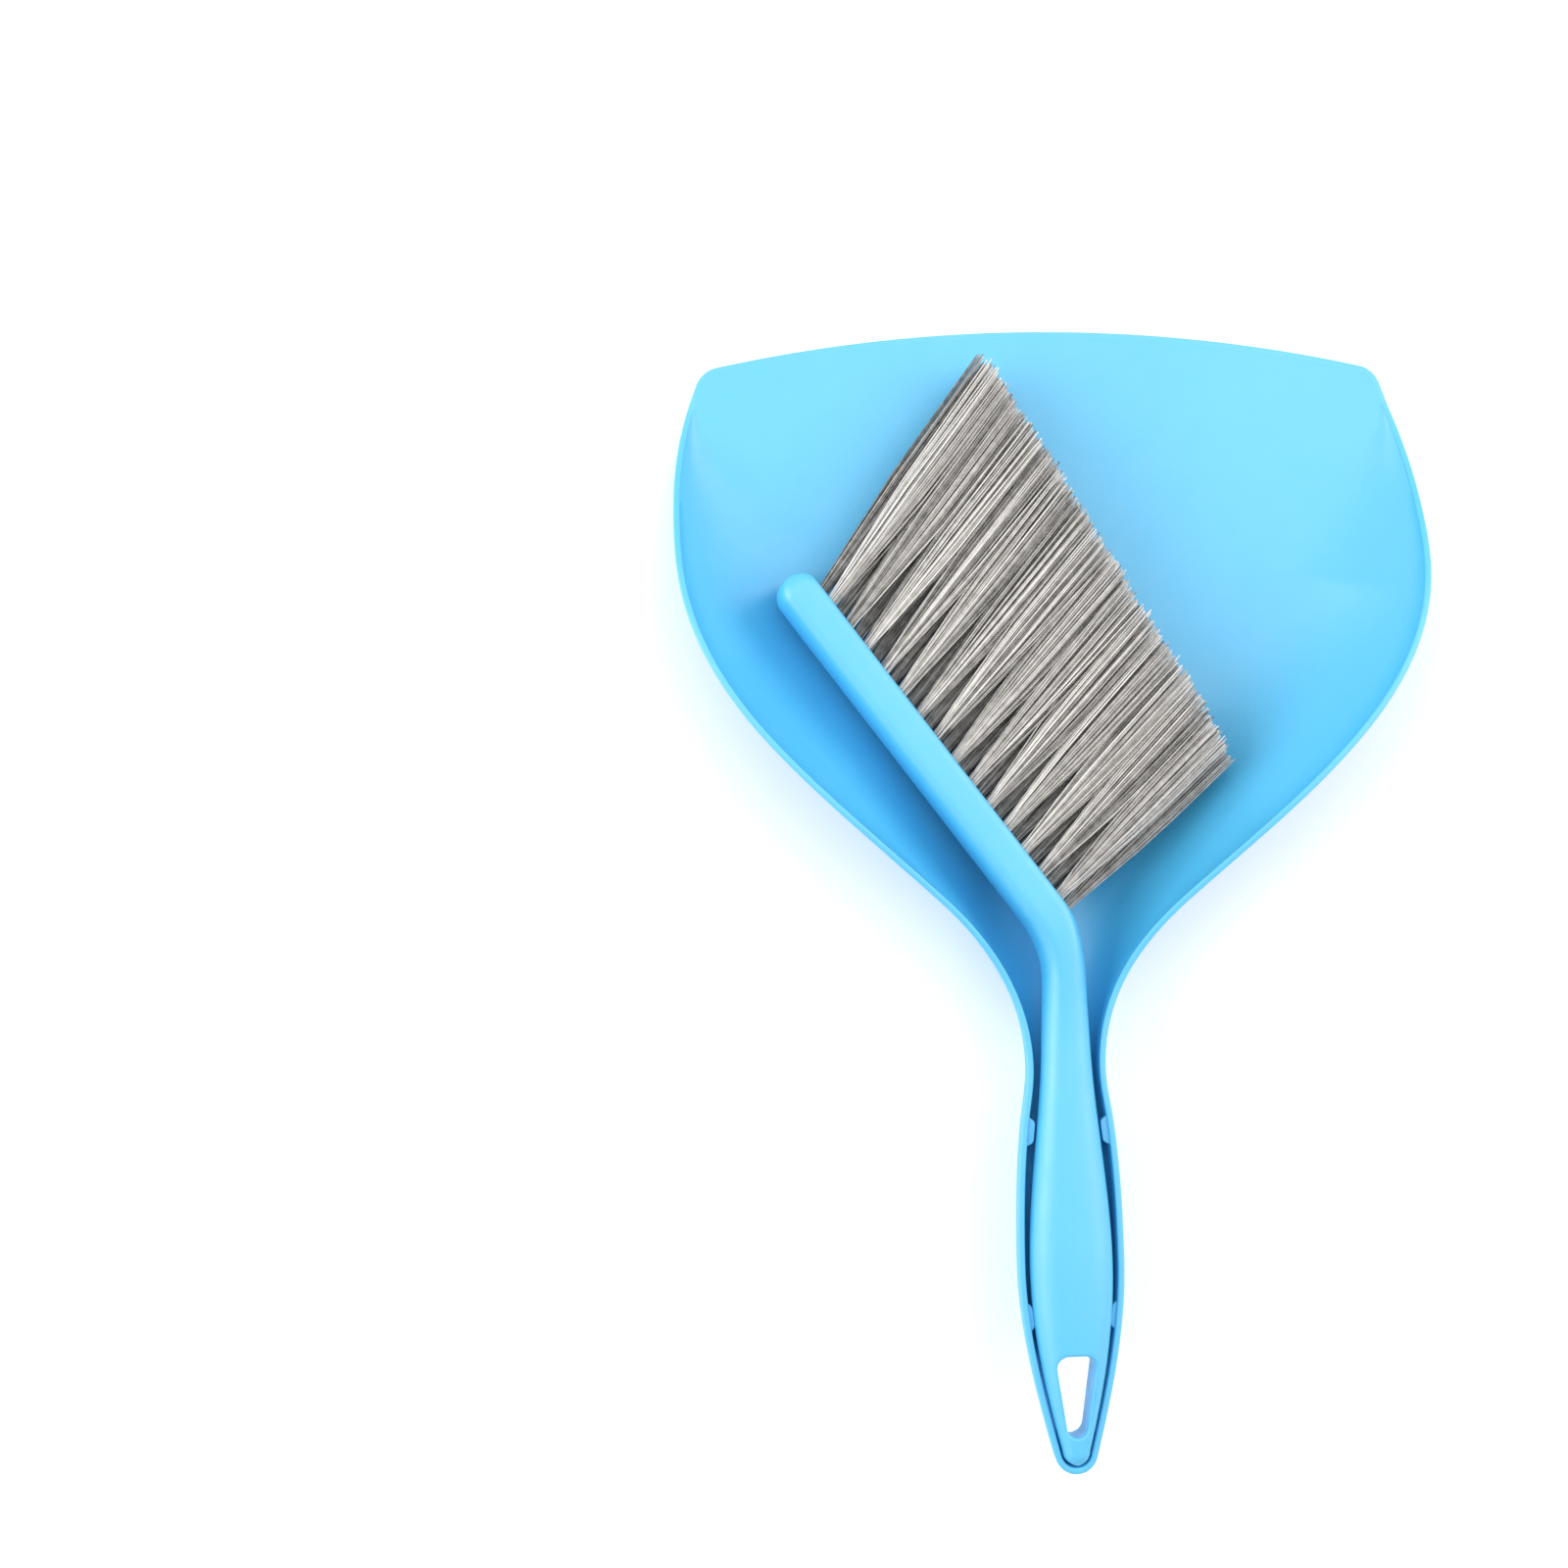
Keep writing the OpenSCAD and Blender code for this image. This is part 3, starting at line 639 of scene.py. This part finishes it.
def brush_hole_cutter():
    """The hanging hole's cutter, flared at both faces so that its edges come out rounded."""
    points, normals = hole_outline(0)
    rings = []
    for a in np.radians([0, 18, 36, 54, 72, 90]):
        p = points + normals * HOLE_EDGE * (1 - math.cos(a))
        rings.append((p, brush_top(p[:, 0], p[:, 1]) - HOLE_EDGE * (1 - math.sin(a))))
    p = points + normals * (HOLE_EDGE + HOLE_FLARE)
    rings.append((p, np.full(len(p), HOLE_CUT)))
    rings = [(p, -z) for p, z in rings[::-1]] + rings
    count = len(points)
    verts = np.vstack([np.column_stack([p, z]) for p, z in rings])
    faces = grid_faces(len(rings), count, closed=True)
    faces += cap_faces(count, len(verts) - count)
    return welded(new_object("cutter", verts, faces))


# The tufts: [row, how many, level], and where they start and end, in the head's axes
MID_TUFTS = 15
ROWS = [("top", MID_TUFTS - 1, 1), ("mid", MID_TUFTS, 0), ("low", MID_TUFTS - 1, -1)]
TRIM_NEAR, TRIM_FAR = 68.4, 82
FIRST_ROOT, FIRST_TIP, TUFT_PITCH, TIP_PITCH = 6.8, 15.2, 7.82, 8.7
ROW_GAP_ROOT, ROW_GAP_TIP = 4.9, 6
BORE_R, BORE_DEPTH, BORE_SIDES = 1.9, 6.5, 28
# The bores' cutter: [distance out of the face, how much wider], for a softened edge
BORE_LEVELS = [(-BORE_DEPTH, 0.0), (-0.35, 0.0), (-0.1, 0.05), (0.1, 0.2), (2.0, 0.25)]
trim_slope = (TRIM_FAR - TRIM_NEAR) / (TIP_PITCH * MID_TUFTS)


def tuft_line(count, level, k):
    """Where tuft k of a row leaves the face, and where it ends, in the head's axes."""
    step = k + (0.5 if count < MID_TUFTS else 0)
    root = np.array([head_half, FIRST_ROOT + TUFT_PITCH * step, level * ROW_GAP_ROOT])
    y = FIRST_TIP + TIP_PITCH * step
    tip = np.array([TRIM_NEAR + trim_slope * (y - FIRST_TIP), y, level * ROW_GAP_TIP])
    return root, tip


def tuft_axes(root, tip):
    """A tuft's length, its direction, and two directions across it: up and sideways."""
    reach = np.linalg.norm(tip - root)
    way = (tip - root) / reach
    up = np.cross(way, [0, 1, 0])
    up /= np.linalg.norm(up)
    return reach, way, up, np.cross(up, way)


def circle(angles, up, side):
    """Points around a circle of radius 1, across a tuft."""
    return np.cos(angles)[:, None] * up + np.sin(angles)[:, None] * side


def bore_cutter():
    verts, faces = [], []
    angles = np.linspace(0, 2 * math.pi, BORE_SIDES, endpoint=False)
    for _, count, level in ROWS:
        for k in range(count):
            root, tip = tuft_line(count, level, k)
            _, way, up, side = tuft_axes(root, tip)
            start = len(verts)
            for z, grow in BORE_LEVELS:
                ring = root + way * z + (BORE_R + grow) * circle(angles, up, side)
                verts += ring.tolist()
            faces += grid_faces(len(BORE_LEVELS), BORE_SIDES, start, closed=True)
            last = len(verts) - BORE_SIDES
            faces += [tuple(range(start, start + BORE_SIDES))[::-1],
                      tuple(range(last, last + BORE_SIDES))]
    return welded(new_object("cutter", verts, faces))


def make_brush_handle():
    rings = [brush_ring(taper_from - BRUSH_TIP_R * math.cos(a), math.sin(a),
                        TIP_THIN + (1 - TIP_THIN) * math.sin(a)) for a in END_ANGLES]
    bend_starts, bend_ends = bend_from - 6, at_head(16)
    spots = np.concatenate([np.arange(taper_from, bend_starts, GRIP_STEP),
                            np.arange(bend_starts, bend_ends, BEND_STEP),
                            np.arange(bend_ends, head_end, HEAD_STEP), [head_end]])
    rings += [brush_ring(d, 1, 1) for d in spots]
    rings += [brush_ring(head_end + head_half * math.cos(a), math.sin(a),
                         HEAD_THIN + (1 - HEAD_THIN) * math.sin(a))
              for a in END_ANGLES[::-1]]
    faces = grid_faces(len(rings), len(ANGLES), closed=True)
    body = welded(new_object("brush_handle", np.vstack(rings), faces))
    body.data.transform(BRUSH_PLANE)
    for cutter, place in ((brush_hole_cutter(), BRUSH_PLANE), (bore_cutter(), HEAD_AXES)):
        cutter.data.transform(place)
        combine(body, cutter)
    smooth_by_angle(body, BRUSH_CREASE)
    body.data.materials.clear()
    body.data.materials.append(BRUSH_PLASTIC)
    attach(body, "brush")
    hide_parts("brush_handle")


# ---- the bristles -------------------------------------------------------------------

FILAMENTS, FILAMENT_R, FILAMENT_SIDES, END_THIN = 84, 0.22, 5, 0.8
# Distances along a filament at which it has points, from inside the bore to its end
LEVELS = np.array([-4.6, 0.0, 3.0, 8.0, 16.0, 26.0, 38.0, 52.0, 1e9])
SIDE_ANGLES = np.linspace(0, 2 * math.pi, FILAMENT_SIDES, endpoint=False)

# The fan: a tight bundle that opens until it merges with its neighbours, at a share of its
# length. Across the tuft "up" and "side" are the two half widths that it gains.
ROOT_SPREAD, BUNDLE_LEN, MERGE, FAN_POWER = 1.5, 9.0, 0.47, 1.15
NEAR_UP, NEAR_SIDE, FAR_UP, FAR_SIDE = 1.1, 2.65, 0.9, 0.75
PAST_END, PAST_MERGE = 1.05, 1.1       # how far on the two shares still grow

# How tufts and filaments vary: ranges of even draws, or spreads of normal ones
TUFT_LENGTH, TUFT_LEAN = 0.35, 0.45
GOLDEN_TURN, TURN_VARIES = 2.39996, 0.25
STRAYS, STRAY_REACH = 0.05, 2.4
SIDE_VARIES, UP_VARIES, PLACE_VARIES = (0.92, 1.12), (0.9, 1.1), 0.07
SWING, SWING_SHARE, LENGTH_VARIES = 0.30, 0.8, 0.55
FULL_TURN, WAVE, WAVE_UP, WAVE_SIDE = 6.283, (0.02, 0.07), 0.45, 0.38
# The root number is painted shade: each filament is drawn darker towards its root, where the
# head and its neighbours shade it.
TONE, TONE_VARIES, TONE_LEAST, ROOT_PAINTED_SHADE = 0.60, 0.27, 0.03, 0.85
ROW_PAINTED_SHADE = {1: 1.0, 0: 0.62, -1: 0.5}  # painted shade: the middle and lower rows are drawn darker, for the shade deep in the brush

# Each filament has its own cell in the square of a baked texture: how much of the cell is
# used, across and along, how much of it a face takes, and the place of the cut end
BAKE_COLUMNS, CELL_U, CELL_V, CELL_FACE = 10, 0.95, 0.97, 0.94
CUT_U, CUT_V, CUT_R, CUT_CELL_U = 0.4, 0.5, 0.3, 0.9


def filament_uvs(i, rows):
    """Texture places of filament i: its sides as a grid, then its cut end."""
    left, low = i % BAKE_COLUMNS / BAKE_COLUMNS, i // BAKE_COLUMNS / BAKE_COLUMNS
    uvs = []
    for j in range(rows - 1):
        v0, v1 = j / rows, (j + CELL_FACE) / rows
        for e in range(FILAMENT_SIDES):
            u0, u1 = e / FILAMENT_SIDES, (e + CELL_FACE) / FILAMENT_SIDES
            for u, v in ((u0, v0), (u1, v0), (u1, v1), (u0, v1)):
                uvs += [left + u * CELL_U / BAKE_COLUMNS, low + v * CELL_V / BAKE_COLUMNS]
    for a in SIDE_ANGLES:
        u = (CUT_U + CUT_R * math.cos(a)) * CUT_CELL_U
        v = (rows - CUT_V + CUT_R * math.sin(a)) / rows * CELL_V
        uvs += [left + u / BAKE_COLUMNS, low + v / BAKE_COLUMNS]
    return uvs


def tuft_mesh(name, count, level, k, rng):
    root, tip = tuft_line(count, level, k)
    reach, way, up, side = tuft_axes(root, tip)
    merge = MERGE * reach
    tuft_longer = rng.normal(0, TUFT_LENGTH)
    lean = rng.normal(0, TUFT_LEAN, 2)
    verts, faces, tones_and_painted_shade, uvs = [], [], [], []
    for i in range(FILAMENTS):
        r = math.sqrt((i + 0.5) / FILAMENTS)
        turn = i * GOLDEN_TURN + rng.uniform(-TURN_VARIES, TURN_VARIES)
        a, b = r * math.cos(turn), r * math.sin(turn)
        crossing = rng.normal(0, STRAY_REACH) if rng.random() < STRAYS else 0.0
        wide_b = b * rng.uniform(*SIDE_VARIES) + rng.normal(0, PLACE_VARIES)
        wide_a = a * rng.uniform(*UP_VARIES) + rng.normal(0, PLACE_VARIES)
        swing = rng.normal(0, SWING, 2)
        phase, wave = rng.uniform(0, FULL_TURN, 2), rng.uniform(*WAVE)
        length = reach + rng.normal(0, LENGTH_VARIES) + tuft_longer
        # its own tone, darkened by painted shade in the middle and lower rows
        tone_and_painted_shade = float(np.clip(rng.normal(TONE, TONE_VARIES), TONE_LEAST, 1)) * ROW_PAINTED_SHADE[level]

        def at(z):
            """The filament's middle at distance z along the tuft."""
            t = np.clip(z / reach, 0, PAST_END)
            near = np.clip(z / merge, 0, 1)**FAN_POWER
            far = np.clip((z - merge) / (reach - merge), 0, PAST_MERGE)
            spread_a = ROOT_SPREAD + NEAR_UP * near + FAR_UP * far
            spread_b = ROOT_SPREAD + NEAR_SIDE * near + FAR_SIDE * far
            mix = np.clip(z / BUNDLE_LEN, 0, 1)
            x = ROOT_SPREAD * a * (1 - mix) + spread_a * wide_a * mix
            y = ROOT_SPREAD * b * (1 - mix) + spread_b * wide_b * mix
            x = x + (swing[0] + lean[0]) * t**2 * SWING_SHARE
            y = y + (swing[1] + lean[1]) * t**2 + crossing * t
            x = x + wave * np.sin(z * WAVE_UP + phase[0])
            y = y + wave * np.sin(z * WAVE_SIDE + phase[1])
            return root + np.outer(z, way) + np.outer(x, up) + np.outer(y, side)

        # it ends on the trim line, give or take its own length
        z_end = length
        for _ in range(2):
            end = at(np.array([z_end]))[0]
            goal = TRIM_NEAR + trim_slope * (end[1] - FIRST_TIP) + (length - reach)
            z_end += (goal - end[0]) / way[0]
        path = at(np.minimum(LEVELS, z_end))
        start, rows = len(verts), len(path)
        for j, p in enumerate(path):
            radius = FILAMENT_R * (END_THIN if j == rows - 1 else 1)
            verts += (p + radius * circle(SIDE_ANGLES, up, side)).tolist()
            # painted shade: darker at the root, full tone from the fifth point on
            tones_and_painted_shade += [tone_and_painted_shade * (ROOT_PAINTED_SHADE + (1 - ROOT_PAINTED_SHADE) * min(1, j / 5))] * FILAMENT_SIDES
        faces += grid_faces(rows, FILAMENT_SIDES, start, closed=True)
        last = start + (rows - 1) * FILAMENT_SIDES
        faces.append(tuple(range(last, last + FILAMENT_SIDES)))
        uvs += filament_uvs(i, rows)
    obj = new_object(name, verts, faces)
    mesh = obj.data
    attribute = mesh.attributes.new("tone_and_painted_shade", "FLOAT", "POINT")
    attribute.data.foreach_set("value", np.clip(tones_and_painted_shade, 0, 1).astype(np.float32))
    layer = mesh.uv_layers.new(name="OFBake")
    layer.data.foreach_set("uv", np.array(uvs, np.float32))
    mesh.transform(HEAD_AXES)
    mesh.materials.append(HAIR)
    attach(obj, "brush")
    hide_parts(name.replace("bristles_", "tuft_"))


BRISTLE_SEED = 41


def make_bristles():
    rng = np.random.default_rng(BRISTLE_SEED)
    for row, count, level in ROWS:
        for k in range(count):
            tuft_mesh(f"bristles_{row}_{k + 1:02d}", count, level, k, rng)


# ---- the studio and the camera ------------------------------------------------------

WORLD_LIGHT = 0.47
FLOOR_HALF = 4
# Soft boxes: [name, place, what it points at, width, height, watts], in metres
SOFTBOXES = [["softbox_over", (0.16, 0.50, 1.35), (0.0, 0.10, 0.0), 1.9, 1.3, 11],
             ["softbox_left", (-1.10, 0.20, 0.70), (0.0, 0.05, 0.0), 1.3, 0.9, 14],
             ["softbox_right", (1.10, 0.35, 0.70), (0.0, 0.05, 0.0), 1.3, 0.9, 10.5]]

# The camera's place in metres, and its lens and sensor in millimetres
CAMERA_AT = (-0.1318, 0.0328, 0.7430)
CAMERA_LOOKS_AT = (-0.0747, 0.0311, 0.0)
CAMERA_RIGHT = (0.99987, -0.0157, 0.0)
CAMERA_LENS, CAMERA_SENSOR = 60.75, 36
CAMERA_CLIP = (0.02, 50)


def make_studio():
    f = FLOOR_HALF
    floor = new_object("studio_floor", [(-f, -f, 0), (f, -f, 0), (f, f, 0), (-f, f, 0)],
                       [(0, 1, 2, 3)], scale=1)
    floor.data.materials.append(floor_material())
    world = bpy.data.worlds.new("studio")
    world.use_nodes = True
    background = world.node_tree.nodes["Background"]
    background.inputs["Color"].default_value = (1, 1, 1, 1)
    background.inputs["Strength"].default_value = WORLD_LIGHT
    scene.world = world
    for name, place, target, width, height, watts in SOFTBOXES:
        data = bpy.data.lights.new(name, "AREA")
        data.shape = "RECTANGLE"
        data.size, data.size_y = width, height
        data.energy = watts
        light = bpy.data.objects.new(name, data)
        light.location = place
        away = Vector(target) - Vector(place)
        light.rotation_euler = away.to_track_quat("-Z", "Y").to_euler()
        scene.collection.objects.link(light)
    scene.view_settings.view_transform = "Standard"


def make_camera():
    data = bpy.data.cameras.new("camera")
    data.lens, data.sensor_width = CAMERA_LENS, CAMERA_SENSOR
    data.clip_start, data.clip_end = CAMERA_CLIP
    camera = bpy.data.objects.new("camera", data)
    back = (Vector(CAMERA_AT) - Vector(CAMERA_LOOKS_AT)).normalized()
    right = Vector(CAMERA_RIGHT)
    right = (right - right.dot(back) * back).normalized()
    axes = Matrix((right, back.cross(right), back)).transposed()
    camera.matrix_world = Matrix.Translation(CAMERA_AT) @ axes.to_4x4()
    scene.collection.objects.link(camera)
    scene.camera = camera


make_camera()
make_pan()
make_brush_handle()
make_bristles()
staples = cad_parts["staples"]
staples.data.materials.clear()
staples.data.materials.append(WIRE)
make_studio()
